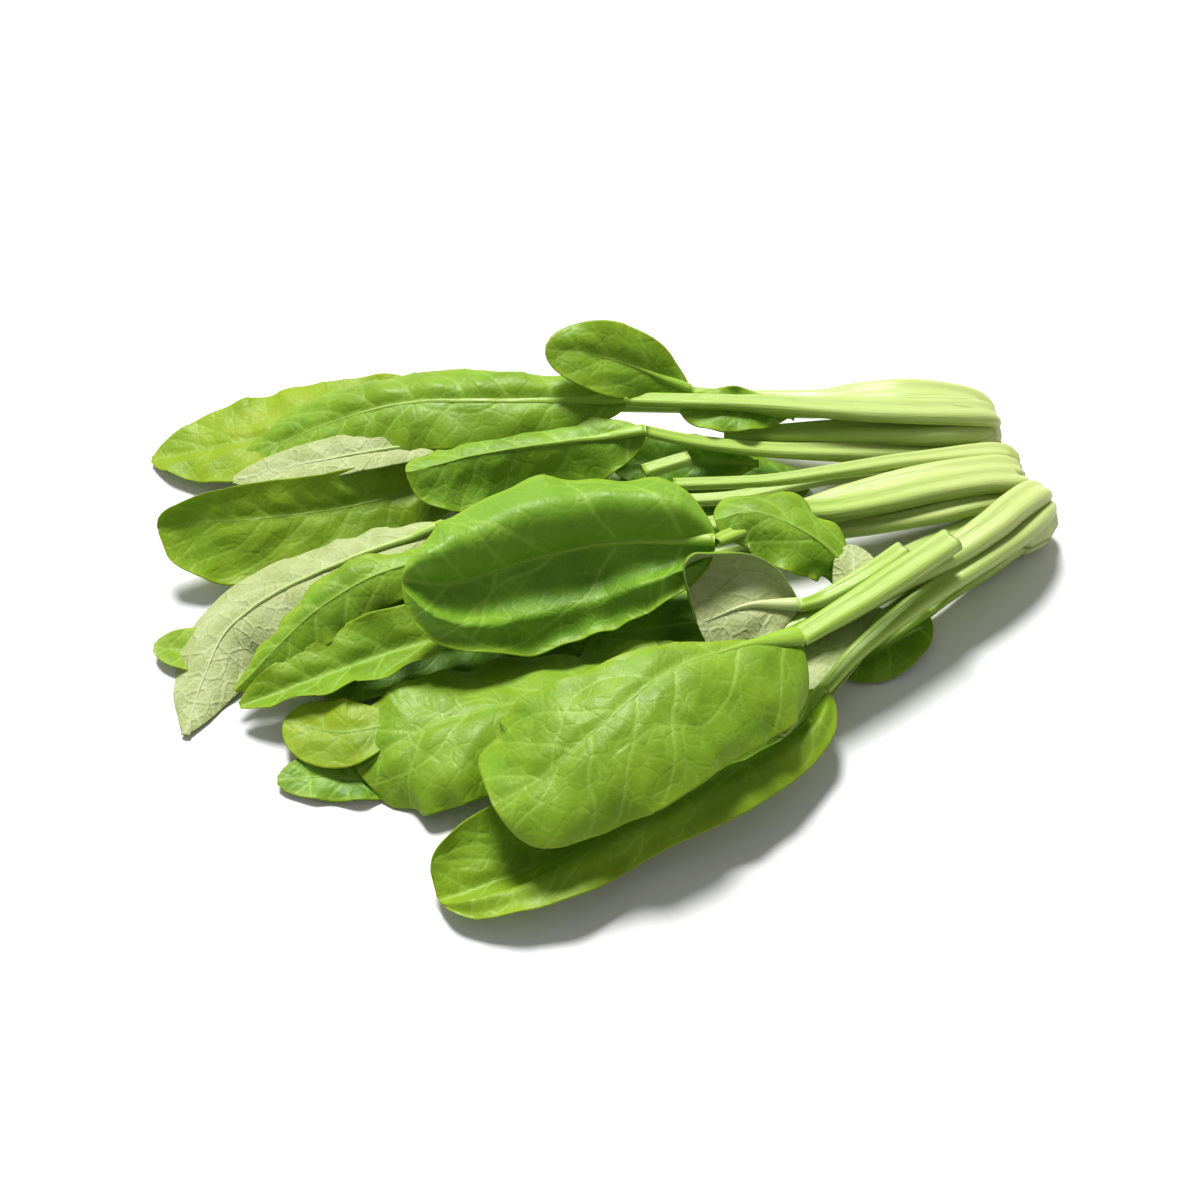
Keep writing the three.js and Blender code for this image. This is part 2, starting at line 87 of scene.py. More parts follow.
# One row per leaf. path: midrib from the base to the tip. near and far: the two halves,
# left and right of the midrib seen from its base, with the half width, its rise from
# level at the midrib and its further bend up to the margin, both in degrees, given at
# even steps along the leaf. bend: how near the margin that bend falls, as for
# USUAL_BEND. outline: where the leaf is widest, then how full it is towards the base and
# the tip (smaller is fuller). flip 1: it lies underside up.
LEAVES = [
    {"name": "a_far", "outline": [0.5, 0.6, 0.6],
     "path": [[-40, 99, 14], [-90, 88, 17], [-127, 85, 11], [-161, 84, 2]],
     "near": {"width": 22, "rise": [0, 0, -5], "curl": [-10, 0, 10]},
     "far": {"width": 22, "rise": [5, 0, -5], "curl": [0, 0, 10]}},
    {"name": "a_top", "outline": [0.5, 0.5, 0.6],
     "path": [[10, 82, 34], [-35, 81, 35], [-72, 83, 31], [-108, 80, 18], [-141, 73, 4]],
     "near": {"width": 18, "rise": [-20, -20, -10], "curl": [-35, -35, 0]},
     "far": {"width": 17, "rise": [40, 30, 5], "curl": [-80, -75, -25], "bend": 1}},
    {"name": "a_small", "outline": [0.55, 0.7, 0.5],
     "path": [[32, 88, 32], [14, 89, 42], [-4, 90, 48], [-19, 90, 50]],
     "near": {"width": 13, "rise": [-35], "curl": [-10]},
     "far": {"width": 13, "rise": [45, 45, 40], "curl": [-25]}},
    {"name": "a_arched", "outline": [0.55, 0.5, 0.35],
     "path": [[16, 69, 31], [-16, 64, 31], [-42, 60, 29], [-67, 54, 26]],
     "near": {"width": 22, "rise": [-50, -65, -50], "curl": [25]},
     "far": {"width": 12, "rise": [0, -15, -10], "curl": [0]}},
    {"name": "a_crumpled", "outline": [0.55, 0.7, 0.5],
     "path": [[68, 81, 28], [49, 80, 31], [28, 80, 31]],
     "near": {"width": 9, "rise": [-25], "curl": [0]},
     "far": {"width": 8, "rise": [30], "curl": [0]}},
    {"name": "a_inner", "outline": [0.55, 0.7, 0.5],
     "path": [[56, 71, 13], [32, 71, 15], [4, 71, 13]],
     "near": {"width": 12, "rise": [-10], "curl": [0]},
     "far": {"width": 10, "rise": [10], "curl": [0]}},
    {"name": "a_pale", "outline": [0.55, 0.6, 0.55], "flip": 1,
     "path": [[-46, 72, 25], [-91, 66, 22], [-129, 64, 12]],
     "near": {"width": 9, "rise": [-10], "curl": [0]},
     "far": {"width": 10, "rise": [0], "curl": [0]}},
    {"name": "a_under", "outline": [0.5, 0.5, 0.5],
     "path": [[75, 71, 4], [14, 64, 6], [-42, 61, 4]],
     "near": {"width": 18, "rise": [-5], "curl": [0]},
     "far": {"width": 16, "rise": [5], "curl": [0]}},
    {"name": "b_cup", "outline": [0.65, 0.6, 0.25],
     "path": [[-28, 64, 13], [-60, 59, 13], [-92, 49, 13], [-122, 42, 15], [-141, 37, 18],
      [-151, 33, 19]],
     "near": {"width": 24, "rise": [-5, -35, -40], "curl": [0, 10, 25]},
     "far": {"width": 13, "rise": [30, 40, 35], "curl": [10, 20, 40], "outline": [0.5, 0.7, 0.3]}},
    {"name": "b_pale", "outline": [0.5, 0.55, 0.8], "flip": 1,
     "path": [[-52, 25, 30], [-86, 12, 26], [-109, 5, 18], [-125, -4, 10], [-132, -22, 5],
      [-136, -43, 2]],
     "near": {"width": 20, "rise": [-10], "curl": [-20]},
     "far": {"width": 18, "rise": [-15], "curl": [-20]}},
    {"name": "b_green", "outline": [0.5, 0.6, 0.6],
     "path": [[-38, 12, 28], [-66, 4, 33], [-92, -8, 26], [-120, -31, 10]],
     "near": {"width": 12, "rise": [-40], "curl": [-10]},
     "far": {"width": 10, "rise": [0], "curl": [-40]}},
    {"name": "b_inner", "outline": [0.5, 0.5, 0.6],
     "path": [[-20, -8, 20], [-52, -15, 19], [-86, -25, 14], [-118, -36, 8]],
     "near": {"width": 14, "rise": [5], "curl": [30]},
     "far": {"width": 14, "rise": [30], "curl": [0]}},
    {"name": "b_tip", "outline": [0.6, 0.6, 0.5],
     "path": [[-106, -6, 1.5], [-128, -7, 2], [-150, -7, 4]],
     "near": {"width": 10, "rise": [0], "curl": [0]},
     "far": {"width": 9, "rise": [5], "curl": [0]}},
    {"name": "b_under", "outline": [0.5, 0.5, 0.5],
     "path": [[14, 12, 6], [-27, 6, 7], [-67, -10, 5], [-94, -24, 2]],
     "near": {"width": 24, "rise": [-5, -5, 0], "curl": [0]},
     "far": {"width": 24, "rise": [0], "curl": [0]}},
    {"name": "b_hollow", "outline": [0.5, 0.5, 0.5],
     "path": [[38, 7, 41], [9, 9, 39], [-10, 6, 38], [-30, -1, 37], [-48, -10, 39], [-64, -13, 44]],
     "near": {"width": 33, "rise": [-55, -70, -50], "curl": [55, 70, 35], "bend": 1.2},
     "far": {"width": 30, "rise": [100, 115, 95], "curl": [-115, -135, -105], "bend": 0.45}},
    {"name": "b_drape", "outline": [0.6, 0.5, 0.45],
     "path": [[83, -2, 24], [80, 7, 32], [68, 13, 40], [51, 18, 44], [38, 15, 43]],
     "near": {"width": 16, "rise": [-35], "curl": [0]},
     "far": {"width": 14, "rise": [-10], "curl": [-20]}},
    {"name": "b_lip", "outline": [0.5, 0.5, 0.5], "flip": 1,
     "path": [[80, -6, 28], [84, 3, 31], [84, 14, 32]],
     "near": {"width": 7, "rise": [0], "curl": [0]},
     "far": {"width": 8, "rise": [-15], "curl": [0]}},
    {"name": "loose_curl", "outline": [0.65, 0.5, 0.2], "flip": 1,
     "path": [[66, -8, 26], [49, -10, 28], [32, -17, 27]],
     "near": {"width": 17, "rise": [-30], "curl": [0]},
     "far": {"width": 29, "rise": [10], "curl": [160], "bend": 2.5}},
    {"name": "c_wide", "outline": [0.6, 0.5, 0.28],
     "path": [[44, -21, 18], [26, -28, 19], [3, -33, 18], [-19, -39, 17], [-46, -48, 18],
      [-66, -56, 13], [-78, -61, 5]],
     "near": {"width": 31, "rise": [0, 5, -10], "curl": [-40]},
     "far": {"width": 23, "rise": [-10, -20, 5], "curl": [0]}},
    {"name": "c_under", "outline": [0.5, 0.5, 0.5],
     "path": [[72, 2, 8], [36, -8, 12], [-7, -28, 9]],
     "near": {"width": 20, "rise": [-10], "curl": [0]},
     "far": {"width": 22, "rise": [0], "curl": [0]}},
    {"name": "loose_front", "outline": [0.6, 0.5, 0.25],
     "path": [[64, -29, 34], [47, -38, 42], [20, -55, 47], [-1, -75, 44], [-18, -88, 37],
      [-33, -94, 30]],
     "near": {"width": 35, "rise": [-10], "curl": [-45], "outline": [0.45, 0.3, 0.4]},
     "far": {"width": 28, "rise": [0], "curl": [-20], "outline": [0.8, 0.6, 0.14]}},
    {"name": "c_trough", "outline": [0.5, 0.5, 0.4],
     "path": [[73, -34, 14], [60, -50, 10], [36, -64, 7], [6, -80, 5], [-19, -97, 4], [-50, -111, 4]],
     "near": {"width": 27, "rise": [45, 55, 25], "curl": [-80, -95, -15], "outline": [0.5, 0.5, 0.4]},
     "far": {"width": 25, "rise": [20], "curl": [30], "outline": [0.6, 0.5, 0.25]}},
    {"name": "c_dark", "outline": [0.5, 0.6, 0.5],
     "path": [[-60, -63, 3], [-87, -62, 4], [-104, -63, 3]],
     "near": {"width": 9, "rise": [-15], "curl": [0]},
     "far": {"width": 10, "rise": [10], "curl": [0]}},
    {"name": "c_yellow", "outline": [0.5, 0.7, 0.5],
     "path": [[-66, -46, 12], [-84, -49, 11], [-103, -42, 8]],
     "near": {"width": 13, "rise": [-15], "curl": [0]},
     "far": {"width": 12, "rise": [5], "curl": [0]}},
    {"name": "c_shade", "outline": [0.5, 0.6, 0.45],
     "path": [[111, 8, 5], [95, -7, 5], [80, -16, 2]],
     "near": {"width": 12, "rise": [-10], "curl": [0]},
     "far": {"width": 12, "rise": [10], "curl": [0]}},
    {"name": "c_underside", "outline": [0.4, 0.4, 0.6], "flip": 1,
     "path": [[97, -2, 16], [84, -18, 15], [71, -36, 12], [58, -50, 10]],
     "near": {"width": 4, "rise": [-10], "curl": [0]},
     "far": {"width": 18, "rise": [-5], "curl": [0]}},
]

# One row per stalk, from the crown end to the blade end.
STALKS = [
    {"name": "a_far", "width": [12, 13, 12, 9, 6, 5], "thick": [9, 9, 8, 7, 5, 3],
     "path": [[135, 97, 17], [121, 96, 22], [107, 95, 24], [91, 94, 23], [76, 92, 22],
      [36, 97, 18], [-40, 99, 14]]},
    {"name": "a_top", "width": [12, 11, 9, 7, 6], "thick": [8, 7, 6, 5, 4],
     "path": [[136, 86, 23], [111, 82, 28], [88, 81, 30], [53, 82, 32], [32, 82, 33], [10, 82, 34]]},
    {"name": "a_small", "width": [8, 5, 4], "thick": [6, 4, 3],
     "path": [[127, 87, 26], [70, 86, 29], [32, 88, 32]]},
    {"name": "a_arched", "width": [11, 10, 9, 7, 6, 5], "thick": [8, 8, 7, 5, 4, 3],
     "path": [[137, 78, 13], [111, 74, 16], [85, 71, 19], [59, 69, 22], [33, 69, 26], [16, 69, 31]]},
    {"name": "a_crumpled", "width": [13, 13, 11, 10, 8, 6], "thick": [10, 10, 9, 8, 6, 5],
     "path": [[139, 86, 15], [127, 82, 19], [112, 79, 21], [85, 78, 22], [59, 77, 22], [44, 79, 21]]},
    {"name": "a_inner", "width": [6, 6], "thick": [5, 5],
     "path": [[31, 64, 23], [15, 58, 22]]},
    {"name": "b_cut", "width": [10, 7, 6, 5, 5], "thick": [8, 6, 5, 4, 4],
     "path": [[141, 71, 18], [110, 64, 22], [84, 57, 24], [58, 51, 25], [25, 48, 26]]},
    {"name": "b_cup", "width": [8, 6, 5, 4], "thick": [7, 5, 4, 3],
     "path": [[127, 70, 12], [84, 64, 14], [43, 53, 14], [0, 55, 13], [-28, 64, 13]]},
    {"name": "b_pale", "width": [13, 12, 9, 7, 5, 4], "thick": [10, 9, 7, 6, 4, 3],
     "path": [[144, 63, 18], [125, 58, 21], [107, 54, 21], [86, 48, 20], [62, 40, 19],
      [20, 30, 22], [-20, 26, 27], [-52, 25, 30]]},
    {"name": "b_hollow", "width": [12, 11, 10, 9, 8, 5], "thick": [9, 8, 8, 7, 6, 4],
     "path": [[144, 57, 19], [133, 53, 23], [115, 46, 26], [95, 37, 29], [77, 31, 31],
      [61, 25, 35], [38, 7, 41]]},
    {"name": "b_green", "width": [10, 8, 6, 5, 4], "thick": [8, 6, 5, 4, 3],
     "path": [[146, 54, 15], [128, 45, 19], [115, 39, 21], [95, 32, 23], [72, 26, 24],
      [34, 14, 25], [0, 13, 26], [-38, 12, 28]]},
    {"name": "c_wide", "width": [12, 12, 10, 8, 6], "thick": [9, 9, 8, 6, 4],
     "path": [[151, 49, 21], [141, 37, 26], [132, 27, 27], [117, 15, 26], [97, 4, 23],
      [73, -11, 20], [44, -21, 19]]},
    {"name": "loose_drape", "width": [9, 9], "thick": [7, 7],
     "path": [[80, -4, 24], [57, -14, 20]]},
    {"name": "loose_curl", "width": [7, 7, 5], "thick": [6, 6, 4],
     "path": [[101, 12.5, 31], [88, 0.6, 31.5], [74, -7.5, 29.5], [66, -8, 26]]},
    {"name": "loose_front", "width": [10, 10, 8], "thick": [7, 7, 5],
     "path": [[117, 13.3, 35], [89, -10, 34.6], [64, -29, 34]]},
    {"name": "c_trough", "width": [12, 11, 9, 7, 5], "thick": [9, 8, 7, 6, 4],
     "path": [[153, 46, 17], [143, 31, 21], [125, 14, 22], [105, -2, 20], [86, -18, 16],
      [73, -34, 14]]},
    {"name": "c_shade", "width": [10, 8, 6, 5], "thick": [8, 7, 5, 3],
     "path": [[154, 50, 8], [148, 42, 7], [134, 28, 6], [120, 16, 6], [111, 8, 5]]},
    {"name": "c_underside", "width": [9, 9, 8, 5], "thick": [8, 7, 6, 4],
     "path": [[151, 50, 14], [141, 38, 17], [118, 16, 17], [97, -2, 16]]},
    {"name": "c_inner", "width": [9, 8, 7, 5], "thick": [8, 6, 5, 4],
     "path": [[146, 50, 13], [126, 37, 15], [106, 25, 16], [84, 10, 13], [62, -3, 9]]},
]

# One row per plant: the hard crown where its stalks join, from its tip inwards.
CROWNS = [
    {"name": "a_crown", "tip": [143, 88, 11], "inner": [122, 84, 12], "radius": 11},
    {"name": "b_crown", "tip": [148, 64, 10], "inner": [124, 58, 11], "radius": 10},
    {"name": "c_crown", "tip": [157, 53, 9], "inner": [141, 36, 9], "radius": 9},
]
CROWN_PROFILE = [[0, 0], [0.45, 0.03], [0.8, 0.18], [1, 0.5], [0.8, 0.85], [0, 1]]

# How each leaf differs. yellow and light: from 0 to about 1. yellow tints it yellower: partly
# its own tone, partly painted glow of light through backlit leaves such as a_far and b_cup.
# light lifts its green from deep towards mid green. far_painted_sheen: a lighter green on the
# far half, painted sheen where that half faces the light. ruffle and sway: how wavy its margin
# and its face are. rib: how bold the midrib is.
# bulges: ridges along the blade, each with its height, its share of the way to the near
# margin (far: negative) and its spread.
LOOKS = {
    # The three under leaves are filler sheets kept near deep green: painted shade for the dark gaps beneath
    # the bunch.
    "a_under": {"yellow": 0.1, "light": 0.1, "ruffle": 0.4},
    "b_under": {"yellow": 0.1, "light": 0.1, "ruffle": 0.4},
    "c_under": {"yellow": 0.1, "light": 0.1, "ruffle": 0.4},
    "a_far": {"yellow": 1.0, "light": 0.5, "ruffle": 0.4},
    "a_top": {"yellow": 0.4, "light": 0.5, "ruffle": 0.3, "rib": 1.7},
    "a_small": {"yellow": 0.4, "light": 0.6, "ruffle": 0.3},
    "a_arched": {"yellow": 0.25, "light": 0.5, "ruffle": 0.5},
    "a_crumpled": {"yellow": 0.2, "light": 0.5, "ruffle": 1.6},
    "a_inner": {"yellow": 0.1, "light": 0.3, "ruffle": 0.6},
    "b_cup": {"yellow": 0.6, "light": 0.3, "ruffle": 0.3},
    "b_green": {"yellow": 0.35, "light": 0.4, "ruffle": 0.8},
    "b_inner": {"yellow": 0.4, "light": 0.2, "ruffle": 0.6},
    "b_tip": {"yellow": 0.5, "light": 0.3, "ruffle": 0.3},
    # b_hollow's far half is painted lighter: painted sheen where it faces the light.
    "b_hollow": {"yellow": 0.12, "light": 0.6, "far_painted_sheen": 1.1, "ruffle": 0.5,
                 "bulges": [(6, 0.62, 0.2), (5, -0.5, 0.24)]},
    "b_drape": {"yellow": 0.3, "light": 0.5, "ruffle": 1.2},
    "loose_curl": {"yellow": 0.2, "light": 0.5, "ruffle": 2.0, "sway": 2.2, "rib": 0.6},
    "c_wide": {"yellow": 0.4, "light": 0.6, "ruffle": 0.9, "sway": 1.5},
    "loose_front": {"yellow": 0.4, "light": 0.5, "ruffle": 0.3},
    "c_trough": {"yellow": 0.6, "light": 0.3, "ruffle": 0.3, "bulges": [(2.5, 0.6, 0.15)]},
    "c_dark": {"yellow": 0.1, "light": 0.1, "ruffle": 0.5},
    "c_yellow": {"yellow": 1.0, "light": 0.1, "ruffle": 0.5},
}
PLAIN_LOOK = {"yellow": 0.3, "light": 0.5, "ruffle": 0.3, "sway": 0.6}

# Linear colours.
DEEP_GREEN = (0.055, 0.175, 0.004, 1)
MID_GREEN = (0.19, 0.38, 0.035, 1)
YELLOW_GREEN = (0.38, 0.5, 0.03, 1)
VEIN_GREEN = (0.4, 0.6, 0.11, 1)
RIB_GREEN = (0.27, 0.47, 0.05, 1)
UNDER_GREEN = (0.46, 0.52, 0.23, 1)
UNDER_VEIN = (0.68, 0.72, 0.42, 1)
GLOW_GREEN = (0.42, 0.67, 0.03, 1)
STALK_LIME = (0.32, 0.49, 0.06, 1)
STALK_PALE = (0.5, 0.58, 0.22, 1)
CROWN_PALE = (0.56, 0.6, 0.3, 1)
SCAR_BROWN = (0.3, 0.2, 0.07, 1)
FLOOR_WHITE = (0.78, 0.78, 0.775, 1)
FLOOR_GREY = (0.76, 0.76, 0.755, 1)

# Light and camera; lengths in metres.
SKY_LIGHT = 0.3
SUN_POWER = 3.9
SUN_WIDTH = 17           # degrees across, which sets how soft the shadows are
SUN_FROM = (-0.18, 0.6, 1.0)
FLOOR_HALF = 3.0
CAMERA_RISE = 48         # degrees above the table
CAMERA_DISTANCE = 0.9
CAMERA_AIM = (0.0008, 0.0053, 0.02)
VIEW_WIDTH = 0.4         # seen across the picture at that distance
SENSOR_WIDTH = 36        # millimetres


# ---------------------------------------------------------------- curves

def smooth_path(points):
    """Close points on the smooth curve through points, and how far along each one is."""
    p = np.asarray(points, float)
    p = np.vstack([2 * p[0] - p[1], p, 2 * p[-1] - p[-2]])
    share = np.linspace(0, 1, CURVE_STEPS, endpoint=False)[:, None]
    pieces = [spline_piece(p[i:i + 4], share) for i in range(len(p) - 3)]
    fine = np.vstack([*pieces, p[-2:-1]])
    travelled = np.r_[0, np.cumsum(np.linalg.norm(np.diff(fine, axis=0), axis=1))]
    return fine, travelled


def spline_piece(four, share):
    """The Catmull-Rom curve between the middle two of four points."""
    a, b, c, d = four
    start, end = (c - a) / 2, (d - b) / 2
    cubic = 2 * b - 2 * c + start + end
    square = -3 * b + 3 * c - 2 * start - end
    return cubic * share**3 + square * share**2 + start * share + b


def points_at(points, shares):
    """Points at the given shares of the length of the smooth curve, and its length."""
    fine, travelled = smooth_path(points)
    at = np.asarray(shares) * travelled[-1]
    found = np.stack([np.interp(at, travelled, fine[:, k]) for k in range(3)], -1)
    return found, travelled[-1]


def along(values, shares):
    """A value given at even steps along a leaf or stalk, read smoothly at the shares."""
    v = np.asarray(values, float)
    if len(v) == 1:
        return np.full(len(shares), v[0])
    padded = np.r_[v[0], v, v[-1]]
    place = np.asarray(shares) * (len(v) - 1)
    i = np.clip(place.astype(int), 0, len(v) - 2)
    four = [padded[i + k] for k in range(4)]
    return spline_piece(four, place - i)


def fullness(shares, outline):
    """Half width as a share of the widest: 1 at the widest place, 0 at both ends."""
    widest, base_fill, tip_fill = outline
    x = np.clip(shares, 0, 1) ** (math.log(0.5) / math.log(widest))
    arch = np.clip(4 * x * (1 - x), 0, 1)
    return np.where(shares < widest, arch**base_fill, arch**tip_fill)


def frames(path, shares):
    """Places along a curve, with its left-hand side and its own upward at each."""
    at, length = points_at(path, shares)
    little = 1e-3
    ahead = points_at(path, np.clip(shares + little, 0, 1))[0]
    ahead = ahead - points_at(path, np.clip(shares - little, 0, 1))[0]
    ahead /= np.linalg.norm(ahead, axis=1)[:, None]
    side = np.cross([0, 0, 1], ahead)
    side /= np.linalg.norm(side, axis=1)[:, None]
    return at, side, np.cross(ahead, side), length


def waves(x, y, rng, size, count=5):
    """A smooth random height from -1 to 1, with bumps about size across."""
    total = np.zeros(np.broadcast(x, y).shape)
    for _ in range(count):
        turn = rng.uniform(0, 2 * math.pi)
        pace = 2 * math.pi / (size * rng.uniform(0.75, 1.6))
        phase = rng.uniform(0, 2 * math.pi)
        total = total + np.sin(pace * (x * math.cos(turn) + y * math.sin(turn)) + phase)
    return total / count**0.5 * 0.8


# ---------------------------------------------------------------- veins

class Veins:
    """The side veins of one half of a blade, in millimetres along and out from the midrib."""

    def __init__(self, length, reach, rng):
        self.length = length
        self.reach = reach
        self.rng = rng
        self.strong = []
        self.fine = []

    def grow(self, start, heading, bend, longest, width, into):
        """One wandering vein, which stops before the margin. It returns its points."""
        step = 0.6
        x, y = start
        trail = []
        for k in range(int(longest / step)):
            slim = max(1 - 0.5 * k * step / longest, 0.45)
            trail.append((x, y, max(width * slim, LEAST_VEIN), heading))
            heading += bend * step + self.rng.normal(0, 0.06)
            x += math.cos(heading) * step
            y += math.sin(heading) * step
            if y < 0.5 or y > 0.95 * self.reach(x) - 0.5 or x > self.length - 1:
                break
        into.extend(point[:3] for point in trail)
        return trail

    def fill(self):
        """Samples (x, y, width) of the strong side veins and of the fine ones between."""
        widest = max(self.reach(x) for x in np.linspace(0, self.length, 20))
        spacing = VEIN_SPACING * min(1.0, 0.45 + widest / 50)
        x = self.rng.uniform(0.25, 0.6) * spacing
        while x < self.length * 0.93:
            share = x / self.length
            heading = math.radians(62 - 22 * share + self.rng.normal(0, 4))
            trunk = self.grow((x, 0.5), heading, -0.013, widest * 2, 0.7 - 0.25 * share, self.strong)
            self.branch(trunk, spacing)
            x += spacing * self.rng.uniform(0.8, 1.2) * (1.1 - 0.4 * share)
        return np.array(self.strong), np.array(self.fine)

    def branch(self, trunk, spacing):
        """Forks and cross veins off one side vein."""
        count = len(trunk)
        place = int(count * 0.22)
        way = 1
        while place < count - 6:
            x, y, width, heading = trunk[place]
            turn = math.radians(self.rng.uniform(38, 58)) * way
            reach = spacing * self.rng.uniform(0.35, 0.6)
            twig = self.grow((x, y), heading + turn, -0.03 * way, reach, width * 0.6, self.fine)
            if len(twig) > 12:
                px, py, pw, ph = twig[len(twig) // 2]
                self.grow((px, py), ph - way * 1.0, 0.02 * way, spacing * 0.35, pw * 0.8, self.fine)
            cross = math.radians(self.rng.uniform(75, 100)) * -way
            self.grow((x, y), heading + cross, 0.02, spacing * 0.45, width * 0.5, self.fine)
            place += int(self.rng.uniform(13, 22) * spacing / 20)
            way = -way


def nearness(x, y, samples, default=9.0):
    """Distance to the nearest vein, and how strongly a point lies in one, row by row."""
    distance = np.full(y.shape, default)
    strength = np.zeros(y.shape)
    if len(samples) == 0:
        return distance, strength
    order = np.argsort(samples[:, 0])
    samples = samples[order]
    for i, row_x in enumerate(x):
        low, high = np.searchsorted(samples[:, 0], [row_x - 5, row_x + 5])
        if low == high:
            continue
        sx, sy, width = samples[low:high].T
        gap = np.hypot(row_x - sx[None], y[i][:, None] - sy[None])
        distance[i] = np.minimum(gap.min(1), default)
        strength[i] = np.exp(-((gap / width[None]) ** 2)).max(1)
    return distance, strength


# ---------------------------------------------------------------- meshes

class Build:
    """Collects quads with their material, leaf coordinates and per-point numbers."""

    FIELDS = ("vein", "margin", "yellow", "light")

    def __init__(self):
        self.points, self.quads, self.slots, self.uv = [], [], [], []
        self.fields = {name: [] for name in self.FIELDS}
        self.count = 0

    def add(self, points, quads, slot, uv, **fields):
        """points and uv: one row each; fields: an array or one number each."""
        self.points.append(points)
        self.quads.append(quads + self.count)
        self.slots.append(np.full(len(quads), slot) if np.isscalar(slot) else slot)
        self.uv.append(uv)
        for name in self.FIELDS:
            self.fields[name].append(np.broadcast_to(fields.get(name, 0.0), len(points)))
        self.count += len(points)

    def object(self, name, materials):
        points = (np.vstack(self.points) - BUNCH_CENTRE) * MM
        quads = np.vstack(self.quads)
        mesh = bpy.data.meshes.new(name)
        mesh.vertices.add(len(points))
        mesh.vertices.foreach_set("co", points.ravel())
        mesh.loops.add(quads.size)
        mesh.loops.foreach_set("vertex_index", quads.ravel())
        mesh.polygons.add(len(quads))
        mesh.polygons.foreach_set("loop_start", np.arange(0, quads.size, 4))
        mesh.polygons.foreach_set("material_index", np.concatenate(self.slots))
        mesh.polygons.foreach_set("use_smooth", np.ones(len(quads), bool))
        layer = mesh.uv_layers.new(name="leaf")
        layer.data.foreach_set("uv", np.vstack(self.uv)[quads.ravel()].ravel())
        for field, parts in self.fields.items():
            values = np.concatenate(parts).astype(np.float32)
            mesh.attributes.new(field, "FLOAT", "POINT").data.foreach_set("value", values)
        mesh.update(calc_edges=True)
        mesh.validate()
        piece = bpy.data.objects.new(name, mesh)
        bpy.context.scene.collection.objects.link(piece)
        for material in materials:
            mesh.materials.append(material)
        return piece


def grid_quads(rows, columns, wrap=False):
    """Quads of a grid of points; wrap joins the last column to the first."""
    index = np.arange(rows * columns).reshape(rows, columns)
    if wrap:
        index = np.hstack([index, index[:, :1]])
    corners = [index[:-1, :-1], index[1:, :-1], index[1:, 1:], index[:-1, 1:]]
    return np.stack(corners, -1).reshape(-1, 4)


def end_strip(ring):
    """Quads that close a ring of an even number of points."""
    count = len(ring)
    return np.array([[ring[k], ring[k + 1], ring[count - 2 - k], ring[count - 1 - k]]
                     for k in range(count // 2 - 1)])


def grid_normals(grid):
    """The unit normal at each point of a grid, on its upper side."""
    ahead = np.gradient(grid, axis=0)
    across = np.gradient(grid, axis=1)
    normal = np.cross(ahead, across)
    return normal / np.maximum(np.linalg.norm(normal, axis=2), 1e-9)[..., None]


def half_sheet(half, outline, shares, cells, origin, side, up, sign):
    """Rows of points from the midrib's edge to the margin, and their distance out."""
    reach = np.maximum(half["width"] * fullness(shares, outline), LEAST_HALF_WIDTH)
    rise = np.radians(along(half["rise"], shares))[:, None]
    curl = np.radians(along(half["curl"], shares))[:, None]
    between = 4
    middle = (np.arange(cells * between) + 0.5) / (cells * between)
    angle = rise + curl * middle[None] ** half.get("bend", USUAL_BEND)
    length = reach[:, None] / (cells * between)
    across = np.cumsum(np.cos(angle) * length, 1)[:, between - 1::between]
    high = np.cumsum(np.sin(angle) * length, 1)[:, between - 1::between]
    points = origin[:, None] + sign * side[:, None] * across[..., None]
    points = points + up[:, None] * high[..., None]
    out = reach[:, None] * (np.arange(cells) + 1) / cells
    return points, out


def blade_sheet(leaf, rng):
    """The blade's middle surface, its place on the leaf, its vein fields and its look.

    x runs along the midrib and y out from it, both in millimetres; y is negative on the far
    half. t is the share of the way from the midrib to the margin, on either half.
    """
    look = LOOKS.get(leaf["name"], PLAIN_LOOK)
    length = points_at(leaf["path"], [0])[1]
    rows = max(30, round(length / GRID_STEP))
    even = np.linspace(0, 1, rows)
    shares = 0.75 * even + 0.25 * (1 - np.cos(math.pi * even)) / 2
    origin, side, up, length = frames(leaf["path"], shares)
    grids, outs = [], []
    for half, sign in ((leaf["far"], -1), (leaf["near"], 1)):
        outline = half.get("outline", leaf["outline"])
        cells = max(6, round(half["width"] / GRID_STEP))
        points, out = half_sheet(half, outline, shares, cells, origin, side, up, sign)
        grids.append(points)
        outs.append(out)
    grid = np.concatenate([grids[0][:, ::-1], origin[:, None], grids[1]], 1)
    x = shares * length
    y = np.concatenate([-outs[0][:, ::-1], 0 * x[:, None], outs[1]], 1)
    far_share, near_share = (out / out[:, -1:] for out in outs)
    t = np.concatenate([far_share[:, ::-1], 0 * x[:, None], near_share], 1)
    strong, fine = leaf_veins(x, y, outs, length, rng)
    relief = leaf_relief(x, y, t, strong, fine, look, rng)
    grid = grid + grid_normals(grid) * relief[..., None]
    return grid, x, y, t, strong, fine, look


def leaf_veins(x, y, outs, length, rng):
    """Distance and strength of strong and fine veins over the whole blade."""
    strong = [np.full(y.shape, 9.0), np.zeros(y.shape)]
    fine = [np.full(y.shape, 9.0), np.zeros(y.shape)]
    columns = outs[0].shape[1]
    for out, part in ((outs[0], slice(0, columns + 1)), (outs[1], slice(columns, None))):
        def reach(at, edge=out[:, -1]):
            return float(np.interp(at, x, edge))
        strong_lines, fine_lines = Veins(length, reach, rng).fill()
        for store, lines in ((strong, strong_lines), (fine, fine_lines)):
            distance, strength = nearness(x, np.abs(y[:, part]), lines)
            store[0][:, part] = np.minimum(store[0][:, part], distance)
            store[1][:, part] = np.maximum(store[1][:, part], strength)
    return strong, fine


